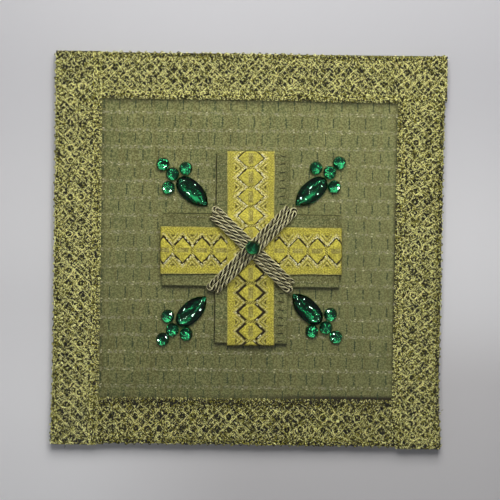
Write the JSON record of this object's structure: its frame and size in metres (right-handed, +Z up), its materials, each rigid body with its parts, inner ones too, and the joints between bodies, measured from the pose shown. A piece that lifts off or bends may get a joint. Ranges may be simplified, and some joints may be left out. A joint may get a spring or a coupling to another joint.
{
  "type": "chalice pall",
  "caption": "Stiff square pall in green cloth with a gold lace border, a raised galloon cross, a laid-cord X and green stones.",
  "frame": {"origin": "under the middle of the square, on the surface it lies on", "axes": "+Z up out of the pall's face, +Y towards the pall's top edge, +X towards its right edge"},
  "size_m": [0.17, 0.1706, 0.0124],
  "materials": {
    "green_cloth": "woven jacquard, slight sheen",
    "gold_lace": "metallic lace, glittering",
    "yellow_galloon": "woven metallic galloon",
    "gold_cord": "twisted metallic cord",
    "green_stone": "faceted, foil-backed, glossy"
  },
  "bodies": {
    "root": {"panel": "green_cloth", "lace_bottom": "gold_lace", "lace_right": "gold_lace", "lace_top": "gold_lace", "lace_left": "gold_lace", "cross_base": "green_cloth", "ribbon_across": "yellow_galloon", "ribbon_upright": "yellow_galloon", "cord_under": "gold_cord", "cord_over": "gold_cord", "navette_top_left": "green_stone", "stone_top_left_1": "green_stone", "stone_top_left_2": "green_stone", "stone_top_left_3": "green_stone", "stone_top_left_4": "green_stone", "navette_top_right": "green_stone", "stone_top_right_1": "green_stone", "stone_top_right_2": "green_stone", "stone_top_right_3": "green_stone", "stone_top_right_4": "green_stone", "navette_bottom_right": "green_stone", "stone_bottom_right_1": "green_stone", "stone_bottom_right_2": "green_stone", "stone_bottom_right_3": "green_stone", "stone_bottom_right_4": "green_stone", "navette_bottom_left": "green_stone", "stone_bottom_left_1": "green_stone", "stone_bottom_left_2": "green_stone", "stone_bottom_left_3": "green_stone", "stone_bottom_left_4": "green_stone", "stone_centre": "green_stone"}
  },
  "joints": []
}
